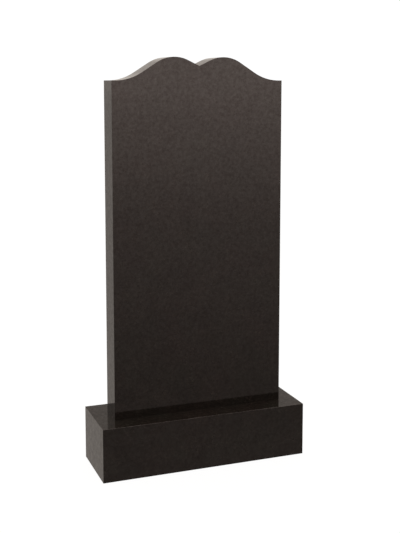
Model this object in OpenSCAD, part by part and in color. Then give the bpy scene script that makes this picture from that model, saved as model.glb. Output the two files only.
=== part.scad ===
// Headstone: an upright slab, the stele, on a plain rectangular plinth. Both are dark
// polished stone. The stele's head has two rounded humps with a valley between them,
// and each hump runs down in an S-curve to a short flat shoulder.
//
// All sizes are in millimetres. The origin is the middle of the plinth's underside,
// +X runs along the width, +Y from the front face to the back and +Z up.

/* [Plinth] */
// Width of the plinth, left to right
plinth_w = 600; // [520:10:900]
// Depth of the plinth, front to back
plinth_d = 200; // [130:10:300]
// Height of the plinth
plinth_h = 150; // [80:10:250]

/* [Stele] */
// Width of the stele, left to right
stele_w = 500; // [485:5:520]
// Thickness of the stele, front to back
stele_t = 80; // [50:5:120]
// Height of the stele, from the top of the plinth to the tops of the humps
stele_h = 1000; // [500:10:1500]

/* [Head of the stele] */
// Height of the humps above the flat shoulders
hump_rise = 64; // [40:1:70]
// Distance from the middle to the top of each hump
hump_x = 72; // [45:1:80]
// Radius of the humps
hump_r = 93; // [60:1:120]
// Radius of the hollow that runs out onto the shoulder
hollow_r = 139; // [80:1:165]
// Slope of the straight flank between hump and hollow, in degrees
flank_slope = 32.5; // [29:0.5:42]
// Slope of both sides of the valley between the humps, in degrees
valley_slope = 25.5; // [5:0.5:45]

/* [Hidden] */

// Steps in each arc of the head
arc_steps = 16;

// Heights in the stele's own outline, which starts at its foot
shoulder_z = stele_h - hump_rise;
hump_centre = [hump_x, stele_h - hump_r];

// The straight flank takes up the fall that the two arcs leave over, and the hollow
// ends level with the shoulder.
flank_fall = hump_rise - (hump_r + hollow_r) * (1 - cos(flank_slope));
flank_run = flank_fall / tan(flank_slope);
hollow_end_x = hump_x + (hump_r + hollow_r) * sin(flank_slope) + flank_run;
hollow_centre = [hollow_end_x, shoulder_z + hollow_r];

// Where the hump meets the straight side of the valley, and the valley's lowest point
valley_top = on_arc(hump_centre, hump_r, -valley_slope);
valley_z = valley_top[1] - valley_top[0] * tan(valley_slope);

// The point of an arc at which the outline falls away at this slope. A positive
// radius is a crest about its centre, and a negative one a hollow.
function on_arc(centre, r, slope) = centre + r * [sin(slope), cos(slope)];

// Points along an arc from one slope up to, but not at, another: the next stretch of
// the outline starts there.
function arc(centre, r, from, to) =
    [for (i = [0:arc_steps - 1]) on_arc(centre, r, from + (to - from) * i / arc_steps)];

// The right half of the stele seen from the front, from the valley down to the foot
right_half = concat(
    [[0, valley_z]],
    arc(hump_centre, hump_r, -valley_slope, 0),
    arc(hump_centre, hump_r, 0, flank_slope),
    [on_arc(hump_centre, hump_r, flank_slope)],
    arc(hollow_centre, -hollow_r, flank_slope, 0),
    [[hollow_end_x, shoulder_z], [stele_w / 2, shoulder_z], [stele_w / 2, 0]]
);

// The left half mirrors it, and runs back up from the foot without the valley's point
left_half = [for (i = [len(right_half) - 1:-1:1]) [-right_half[i][0], right_half[i][1]]];

// Plain block, sawn and polished, with its underside at z = 0
module plinth() {
    color("#332c29")
        translate([-plinth_w / 2, -plinth_d / 2, 0])
            cube([plinth_w, plinth_d, plinth_h]);
}

// Slab cut to the outline, standing on its sawn foot in the middle of the plinth
module stele() {
    color("#453e3a")
        translate([0, 0, plinth_h])
            rotate([90, 0, 0])
                linear_extrude(height = stele_t, center = true)
                    polygon(concat(right_half, left_half));
}

plinth();
stele();
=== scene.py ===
import math

import bmesh
import bpy
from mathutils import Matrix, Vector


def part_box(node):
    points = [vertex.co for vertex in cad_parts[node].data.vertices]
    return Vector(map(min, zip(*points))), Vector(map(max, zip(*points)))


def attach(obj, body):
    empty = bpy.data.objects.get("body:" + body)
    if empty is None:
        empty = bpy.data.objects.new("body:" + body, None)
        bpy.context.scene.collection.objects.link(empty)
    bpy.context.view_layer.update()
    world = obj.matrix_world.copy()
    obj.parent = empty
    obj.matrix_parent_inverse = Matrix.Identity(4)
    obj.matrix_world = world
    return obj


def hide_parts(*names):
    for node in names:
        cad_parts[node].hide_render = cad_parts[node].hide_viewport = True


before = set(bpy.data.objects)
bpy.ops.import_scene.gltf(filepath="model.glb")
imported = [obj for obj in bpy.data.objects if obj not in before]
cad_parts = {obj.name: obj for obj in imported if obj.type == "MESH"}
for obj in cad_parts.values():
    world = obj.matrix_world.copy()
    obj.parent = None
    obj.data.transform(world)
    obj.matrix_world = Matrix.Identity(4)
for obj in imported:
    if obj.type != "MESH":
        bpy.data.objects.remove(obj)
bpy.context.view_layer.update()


# ---------------------------------------------------------------- plinth
# A plain block of dark gabbro, sawn to size. Its top and four sides are polished, and
# the arrises between them are rubbed down. It beds on its sawn underside, which keeps
# the marks of the saw.
plinth_low, plinth_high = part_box("plinth")
arris_width = 0.0005
arris_steps = 2


def add(tree, kind, settings, inputs):
    """Adds a node and gives each input a value, or joins it to another node's output."""
    node = tree.nodes.new(kind)
    for name, value in settings.items():
        setattr(node, name, value)
    for name, value in inputs.items():
        if isinstance(value, bpy.types.NodeSocket):
            tree.links.new(value, node.inputs[name])
        else:
            node.inputs[name].default_value = value
    return node


def maths(tree, operation, first, second=0.0):
    """One sum on numbers or on other nodes' outputs, in a shader or a geometry tree."""
    return add(tree, "ShaderNodeMath", {"operation": operation}, {0: first, 1: second}).outputs[0]


def spread(tree, value, over, onto):
    """Spreads one range of a value evenly over another range, and stops at its ends."""
    return add(tree, "ShaderNodeMapRange", {}, {
        "Value": value, "From Min": over[0], "From Max": over[1],
        "To Min": onto[0], "To Max": onto[1],
    }).outputs["Result"]


def ramp(tree, factor, stops):
    """A colour ramp that runs straight from each (place, colour) stop to the next."""
    node = add(tree, "ShaderNodeValToRGB", {}, {"Fac": factor})
    elements = node.color_ramp.elements
    while len(elements) < len(stops):
        elements.new(0.5)
    for element, (place, colour) in zip(elements, stops):
        element.position = place
        element.color = (*colour, 1)
    return node.outputs["Color"]


def blended(tree, blend_type, share, first, second):
    """Blends two colours. The node keeps colours at its inputs 6 and 7 and its output 2."""
    return add(tree, "ShaderNodeMix", {"data_type": "RGBA", "blend_type": blend_type},
               {"Factor": share, 6: first, 7: second}).outputs[2]


def clouds(tree, place, scale, detail):
    """Soft noise. Its Fac output is one number, and its Color output is three of them."""
    return add(tree, "ShaderNodeTexNoise", {},
               {"Vector": place, "Scale": scale, "Detail": detail}).outputs


def grains(tree, place, scale):
    """Cells packed against each other, with three random numbers for each cell."""
    cells = add(tree, "ShaderNodeTexVoronoi", {}, {"Vector": place, "Scale": scale})
    return add(tree, "ShaderNodeSeparateColor", {}, {"Color": cells.outputs["Color"]}).outputs


def stone_tree(name, shift):
    """A new stone material, and the place in its block of each point of the piece."""
    stone = bpy.data.materials.new(name)
    stone.use_nodes = True
    tree = stone.node_tree
    tree.nodes.clear()
    place = add(tree, "ShaderNodeTexCoord", {}, {}).outputs["Object"]
    place = add(tree, "ShaderNodeMapping", {}, {"Vector": place, "Location": shift})
    return stone, tree, place.outputs["Vector"]


def finish_stone(tree, relief, strength, depth, inputs):
    """Gives the surface its fine relief, and joins it up to the material's output."""
    bump = add(tree, "ShaderNodeBump", {},
               {"Height": relief, "Strength": strength, "Distance": depth})
    surface = add(tree, "ShaderNodeBsdfPrincipled", {},
                  {**inputs, "Normal": bump.outputs["Normal"]})
    add(tree, "ShaderNodeOutputMaterial", {}, {"Surface": surface.outputs["BSDF"]})


def polished_gabbro(name, shift):
    """Mirror-polished gabbro: interlocked dark crystals a few millimetres across."""
    stone, tree, place = stone_tree(name, shift)
    crystal_size = 0.0045
    raggedness = 0.0030
    wander = clouds(tree, place, scale=190, detail=2)["Color"]
    ragged_place = add(tree, "ShaderNodeVectorMath", {"operation": "MULTIPLY_ADD"},
                       {0: wander, 1: (raggedness,) * 3, 2: place}).outputs[0]
    crystal = grains(tree, ragged_place, scale=1 / crystal_size)

    # Black pyroxene, brown-black plagioclase and a few paler laths
    colour = ramp(tree, crystal["Red"], [
        (0.00, (0.0084, 0.0070, 0.0061)),
        (0.45, (0.0102, 0.0086, 0.0074)),
        (0.80, (0.0126, 0.0105, 0.0090)),
        (0.95, (0.0147, 0.0123, 0.0106)),
        (1.00, (0.0193, 0.0162, 0.0140)),
    ])

    # Cloudy bands through the block, and a slow drift from red-brown to olive
    bands = ramp(tree, clouds(tree, place, scale=14, detail=3)["Fac"],
                 [(0.3, (0.78,) * 3), (0.7, (1.22,) * 3)])
    drift = ramp(tree, clouds(tree, place, scale=8, detail=2)["Fac"],
                 [(0.35, (1.08, 0.97, 0.96)), (0.65, (0.95, 1.02, 0.96))])
    for tone in (bands, drift):
        colour = blended(tree, "MULTIPLY", 1.0, colour, tone)

    # Each mineral takes the polish a little better or worse than the next, and like ones lie
    # in clusters. The shader's coat stands for the polish: the stone carries no varnish.
    clusters = spread(tree, clouds(tree, place, scale=95, detail=2)["Fac"], (0.35, 0.65), (0, 1))
    polish = maths(tree, "ADD", maths(tree, "MULTIPLY", crystal["Green"], 0.5),
                   maths(tree, "MULTIPLY", clusters, 0.5))
    polish = spread(tree, polish, (0, 1), (0.2, 0.8))
    warm_sheen = (1.0, 0.824, 0.824, 1)

    # The harder crystals take a brighter polish and stand a hair proud
    roughness = spread(tree, crystal["Green"], (0, 1), (0.07, 0.12))
    relief = maths(tree, "ADD", clouds(tree, place, scale=180, detail=3)["Fac"],
                   maths(tree, "MULTIPLY", crystal["Blue"], 0.3))
    finish_stone(tree, relief, strength=0.25, depth=0.00004, inputs={
        "Base Color": colour, "Roughness": roughness, "IOR": 1.446, "Specular Tint": warm_sheen,
        "Coat Weight": polish, "Coat Roughness": 0.08,
    })
    return stone


def sawn_gabbro(name, shift):
    """The same stone as it leaves the saw: matt, greyer, with the blade's wide arcs."""
    stone, tree, place = stone_tree(name, shift)
    grain = grains(tree, place, scale=420)
    colour = ramp(tree, grain["Red"], [
        (0.0, (0.045, 0.041, 0.038)),
        (0.7, (0.070, 0.065, 0.060)),
        (1.0, (0.120, 0.113, 0.105)),
    ])
    roughness = spread(tree, grain["Green"], (0, 1), (0.6, 0.8))
    blade_radius = 0.9
    from_hub = add(tree, "ShaderNodeMapping", {},
                   {"Vector": place, "Location": (0.1, blade_radius, 0)}).outputs["Vector"]
    marks = add(tree, "ShaderNodeTexWave", {"wave_type": "RINGS", "rings_direction": "Z"},
                {"Vector": from_hub, "Scale": 40, "Distortion": 1.5, "Detail": 2,
                 "Detail Scale": 3}).outputs["Fac"]
    finish_stone(tree, marks, strength=0.5, depth=0.0004,
                 inputs={"Base Color": colour, "Roughness": roughness})
    return stone


def finished(piece):
    """Rubs down the weighted arrises, then replaces the piece's modifiers by their result."""
    eased = piece.modifiers.new("arris", "BEVEL")
    eased.limit_method = "WEIGHT"
    eased.width = arris_width
    eased.segments = arris_steps
    eased.harden_normals = True
    bpy.context.view_layer.update()
    graph = bpy.context.evaluated_depsgraph_get()
    solid = bpy.data.meshes.new_from_object(piece.evaluated_get(graph), depsgraph=graph)
    piece.modifiers.clear()
    piece.data = solid
    solid.name = piece.name


block = bmesh.new()
bmesh.ops.create_cube(block, size=1)
middle = (plinth_low + plinth_high) / 2
for corner in block.verts:
    corner.co = middle + corner.co * (plinth_high - plinth_low)
rubbed = block.edges.layers.float.new("bevel_weight_edge")
for edge in block.edges:
    on_the_ground = all(corner.co.z < middle.z for corner in edge.verts)
    edge[rubbed] = 0.0 if on_the_ground else 1.0
    edge.smooth = not on_the_ground
for face in block.faces:
    face.smooth = True
    face.material_index = 1 if face.calc_center_median().z < plinth_low.z + arris_width else 0
block_mesh = bpy.data.meshes.new("plinth_stone")
block.to_mesh(block_mesh)
block.free()
block_mesh.materials.append(polished_gabbro("plinth polished gabbro", (0, 0, 0)))
block_mesh.materials.append(sawn_gabbro("plinth sawn gabbro", (0, 0, 0)))
plinth = bpy.data.objects.new("plinth_block", block_mesh)
bpy.context.scene.collection.objects.link(plinth)
finished(plinth)
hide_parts("plinth")
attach(plinth, "root")


# ---------------------------------------------------------------- stele
# One upright slab of the same gabbro, sawn 80 mm thick. Its head is set out with a
# compass: an arc for each hump, a straight flank, and a hollow that runs out level on
# the shoulder. It stands in the middle of the plinth on its sawn foot.
stele_low, stele_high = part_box("stele")
head_sizes = {
    "Hump rise": 0.064,
    "Hump from middle": 0.072,
    "Hump radius": 0.093,
    "Hollow radius": 0.139,
    "Flank slope": math.radians(32.5),
    "Valley slope": math.radians(25.5),
}
slab_sizes = {
    "Width": stele_high.x - stele_low.x,
    "Thickness": stele_high.y - stele_low.y,
    "Height": stele_high.z - stele_low.z,
    "Foot": stele_low.z,
}
place_in_block = (1.3, 0.4, 0.7)
arc_points = 25
same_point = 1e-5
foot_margin = 1e-4
arris_fold = math.radians(20)
quarter = math.pi / 2

setting_out = bpy.data.node_groups.new("slab set out with a compass", "GeometryNodeTree")
sockets = {}
for name in (*head_sizes, *slab_sizes):
    sockets[name] = setting_out.interface.new_socket(
        name, in_out="INPUT", socket_type="NodeSocketFloat").identifier
for name in ("Polished", "Sawn"):
    sockets[name] = setting_out.interface.new_socket(
        name, in_out="INPUT", socket_type="NodeSocketMaterial").identifier
setting_out.interface.new_socket("Slab", in_out="OUTPUT", socket_type="NodeSocketGeometry")
given = setting_out.nodes.new("NodeGroupInput").outputs


def reckon(operation, first, second=0.0):
    """One sum in the setting out."""
    return maths(setting_out, operation, first, second)


def step(kind, settings, inputs):
    """One step of the setting out, such as an arc or a cut, and what comes of it."""
    return add(setting_out, "GeometryNode" + kind, settings, inputs).outputs[0]


def at(x, y, z=0.0):
    """A place on the outline, which lies flat while it is set out: y is up the slab."""
    return add(setting_out, "ShaderNodeCombineXYZ", {}, {0: x, 1: y, 2: z}).outputs[0]


def joined(parts):
    """Several stretches or faces taken as one."""
    join = setting_out.nodes.new("GeometryNodeJoinGeometry")
    for part in parts:
        setting_out.links.new(part, join.inputs[0])
    return join.outputs[0]


def mark(x, y):
    """One marked corner of the outline."""
    return step("Points", {}, {"Count": 1, "Position": at(x, y)})


def swung(centre, radius, starts, ends, facing):
    """Points along an arc between two slopes. It faces up on a hump and down in a hollow."""
    arc = step("CurveArc", {"mode": "RADIUS"}, {
        "Resolution": arc_points,
        "Radius": radius,
        "Start Angle": reckon("SUBTRACT", facing, starts),
        "Sweep Angle": reckon("SUBTRACT", starts, ends),
    })
    points = step("CurveToPoints", {"mode": "EVALUATED"}, {"Curve": arc})
    return step("Transform", {}, {"Geometry": points, "Translation": centre})


flank = given["Flank slope"]
valley = given["Valley slope"]
hump_radius = given["Hump radius"]
hollow_radius = given["Hollow radius"]
half_width = reckon("DIVIDE", given["Width"], 2)
half_height = reckon("DIVIDE", given["Height"], 2)
half_thickness = reckon("DIVIDE", given["Thickness"], 2)
shoulder = reckon("SUBTRACT", given["Height"], given["Hump rise"])
hump_x = given["Hump from middle"]
hump_y = reckon("SUBTRACT", given["Height"], hump_radius)

# The straight flank takes up the fall that the two arcs leave over
both_radii = reckon("ADD", hump_radius, hollow_radius)
arcs_fall = reckon("MULTIPLY", both_radii, reckon("SUBTRACT", 1.0, reckon("COSINE", flank)))
flank_fall = reckon("SUBTRACT", given["Hump rise"], arcs_fall)
flank_run = reckon("DIVIDE", flank_fall, reckon("TANGENT", flank))
arcs_run = reckon("MULTIPLY", both_radii, reckon("SINE", flank))
hollow_x = reckon("ADD", hump_x, reckon("ADD", arcs_run, flank_run))
hollow_y = reckon("ADD", shoulder, hollow_radius)

# The valley's straight sides run from the humps down to the middle line
valley_x = reckon("SUBTRACT", hump_x, reckon("MULTIPLY", hump_radius, reckon("SINE", valley)))
valley_y = reckon("ADD", hump_y, reckon("MULTIPLY", hump_radius, reckon("COSINE", valley)))
valley_fall = reckon("MULTIPLY", valley_x, reckon("TANGENT", valley))
valley_floor = reckon("SUBTRACT", valley_y, valley_fall)

hump_centre = at(hump_x, hump_y)
hollow_centre = at(hollow_x, hollow_y)
right_half = joined([
    swung(hump_centre, hump_radius, reckon("MULTIPLY", valley, -1), 0.0, quarter),
    swung(hump_centre, hump_radius, 0.0, flank, quarter),
    swung(hollow_centre, hollow_radius, flank, 0.0, -quarter),
    mark(half_width, shoulder),
    mark(half_width, 0.0),
])
left_half = step("Transform", {}, {"Geometry": right_half, "Scale": (-1, 1, 1)})
template = joined([right_half, left_half, mark(0.0, valley_floor)])
template = step("MergeByDistance", {}, {"Geometry": template, "Distance": same_point})

# The points are joined up in the order of their bearing about the slab's middle
where = setting_out.nodes.new("GeometryNodeInputPosition").outputs[0]
where = add(setting_out, "ShaderNodeSeparateXYZ", {}, {0: where}).outputs
bearing = reckon("ARCTAN2", where["X"], reckon("SUBTRACT", where["Y"], half_height))
outline = step("PointsToCurves", {}, {"Points": template, "Weight": bearing})
outline = step("SetSplineCyclic", {}, {"Geometry": outline, "Cyclic": True})
back = step("FillCurve", {"mode": "NGONS"}, {"Curve": outline})

# The back face is drawn out to the slab's thickness, and the slab is stood on the plinth
sides = step("ExtrudeMesh", {"mode": "FACES"}, {
    "Mesh": back, "Offset": at(0.0, 0.0, 1.0), "Offset Scale": given["Thickness"],
    "Individual": False,
})
slab = joined([sides, step("FlipFaces", {}, {"Mesh": back})])
slab = step("MergeByDistance", {}, {"Geometry": slab, "Distance": same_point})
slab = step("Transform", {}, {"Geometry": slab, "Rotation": (quarter, 0, 0)})
slab = step("Transform", {}, {
    "Geometry": slab, "Translation": at(0.0, half_thickness, given["Foot"]),
})

# Every edge is rubbed down but those of the foot, which stay sharp
fold = setting_out.nodes.new("GeometryNodeInputMeshEdgeAngle").outputs["Unsigned Angle"]
above_foot = reckon("GREATER_THAN", where["Z"], reckon("ADD", given["Foot"], foot_margin))
is_arris = reckon("MULTIPLY", above_foot, reckon("GREATER_THAN", fold, arris_fold))
slab = step("StoreNamedAttribute", {"data_type": "FLOAT", "domain": "EDGE"},
            {"Geometry": slab, "Name": "bevel_weight_edge", "Value": is_arris})
slab = step("SetShadeSmooth", {"domain": "EDGE"}, {"Geometry": slab, "Shade Smooth": above_foot})
slab = step("SetShadeSmooth", {"domain": "FACE"}, {"Geometry": slab})

# The foot is left sawn, and everything else is polished
is_foot = reckon("LESS_THAN", where["Z"], reckon("ADD", given["Foot"], foot_margin))
slab = step("RealizeInstances", {}, {"Geometry": slab})
slab = step("SetMaterial", {}, {"Geometry": slab, "Material": given["Polished"]})
slab = step("SetMaterial", {},
            {"Geometry": slab, "Selection": is_foot, "Material": given["Sawn"]})
setting_out.links.new(slab, setting_out.nodes.new("NodeGroupOutput").inputs[0])

stele = bpy.data.objects.new("stele_slab", bpy.data.meshes.new("stele_stone"))
bpy.context.scene.collection.objects.link(stele)
set_out = stele.modifiers.new("set out and sawn", "NODES")
set_out.node_group = setting_out
for name, value in {**head_sizes, **slab_sizes}.items():
    set_out[sockets[name]] = value
set_out[sockets["Polished"]] = polished_gabbro("stele polished gabbro", place_in_block)
set_out[sockets["Sawn"]] = sawn_gabbro("stele sawn gabbro", place_in_block)
finished(stele)
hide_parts("stele")
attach(stele, "root")


# ---------------------------------------------------------------- floor
# A wide white studio floor, lit from below like a light table, so that it takes almost
# no shadow and runs out into the white behind. The polished faces don't mirror it: they
# see the dark ground of the studio's surround.
floor_reach = 30.0
floor_corners = [(-floor_reach, -floor_reach, 0), (floor_reach, -floor_reach, 0),
                 (floor_reach, floor_reach, 0), (-floor_reach, floor_reach, 0)]
floor_mesh = bpy.data.meshes.new("floor")
floor_mesh.from_pydata(floor_corners, [], [(0, 1, 2, 3)])
floor = bpy.data.objects.new("floor", floor_mesh)
bpy.context.scene.collection.objects.link(floor)
white_floor = bpy.data.materials.new("white floor")
white_floor.use_nodes = True
paint = white_floor.node_tree.nodes["Principled BSDF"]
paint.inputs["Base Color"].default_value = (0.05, 0.05, 0.05, 1)
paint.inputs["Roughness"].default_value = 0.9
paint.inputs["Specular IOR Level"].default_value = 0.0
paint.inputs["Emission Color"].default_value = (1, 1, 1, 1)
paint.inputs["Emission Strength"].default_value = 0.95
floor_mesh.materials.append(white_floor)
floor.visible_glossy = False
floor.visible_diffuse = False


# ---------------------------------------------------------------- studio light
# A plain surround, white to look at, but warm and dim where it lights the stone. It is
# bright overhead. In front it glows at the horizon and darkens towards the ground, and
# behind it is an even grey with a brighter band just above the horizon.
surround = bpy.data.worlds.new("studio surround")
bpy.context.scene.world = surround
surround.use_nodes = True
sky = surround.node_tree
sky.nodes.clear()
warmth = (1.0, 0.91, 0.83)
full_glow = 4.6
white_behind = 1.03
soft_turn = 0.4
front_glow = [
    (-90, 0.21), (-21, 0.235), (-19, 0.21), (-17, 0.245), (-12.5, 0.36), (-8.3, 0.48),
    (-6, 0.66), (-3.9, 0.86), (-1.8, 1.05), (0, 1.34), (2, 1.38), (6, 1.25), (10, 0.9),
    (14, 0.35), (18, 0.09), (38, 0.12), (55, 1.9), (70, 4.0), (90, 4.6),
]
back_glow = [
    (-90, 0.335), (-18, 0.34), (-12, 0.335), (-1, 0.335), (3, 0.67), (8, 0.65), (15, 0.61),
    (17.5, 0.235), (24, 0.235), (50, 1.9), (70, 4.0), (90, 4.6),
]


def glow(height, stops):
    """The surround's brightness at this height, from (degrees above the horizon, glow)."""
    return ramp(sky, height, [
        ((degrees + 90) / 180, [brightness / full_glow * tone for tone in warmth])
        for degrees, brightness in stops])


direction = sky.nodes.new("ShaderNodeTexCoord").outputs["Generated"]
direction = add(sky, "ShaderNodeSeparateXYZ", {}, {0: direction}).outputs
height = spread(sky, maths(sky, "ARCSINE", direction["Z"]), (-quarter, quarter), (0, 1))
behind = add(sky, "ShaderNodeMapRange", {"interpolation_type": "SMOOTHSTEP"},
             {"Value": direction["Y"], "From Min": -soft_turn, "From Max": soft_turn})
behind = behind.outputs["Result"]
all_round = blended(sky, "MIX", behind, glow(height, front_glow), glow(height, back_glow))
lighting = add(sky, "ShaderNodeBackground", {}, {"Color": all_round, "Strength": full_glow})
white = add(sky, "ShaderNodeBackground", {}, {"Color": (1, 1, 1, 1), "Strength": white_behind})
looked_at = sky.nodes.new("ShaderNodeLightPath").outputs["Is Camera Ray"]
either = add(sky, "ShaderNodeMixShader", {}, {
    0: looked_at, 1: lighting.outputs[0], 2: white.outputs[0]})
add(sky, "ShaderNodeOutputWorld", {}, {"Surface": either.outputs[0]})


# ---------------------------------------------------------------- camera
# Level with the head of the slab and to its left, looking a little down. The lens is
# lowered on its panel, which keeps the slab's sides nearer to upright.
looks_down = math.radians(6.30)
turned_right = math.radians(20.56)
camera_data = bpy.data.cameras.new("camera")
camera_data.sensor_width = 36
camera_data.lens = 63.62
camera_data.shift_y = -0.15
camera = bpy.data.objects.new("camera", camera_data)
bpy.context.scene.collection.objects.link(camera)
camera.location = (-0.915, -2.484, 1.080)
camera.rotation_euler = (quarter - looks_down, 0, -turned_right)
bpy.context.scene.camera = camera
bpy.context.scene.view_settings.view_transform = "Standard"
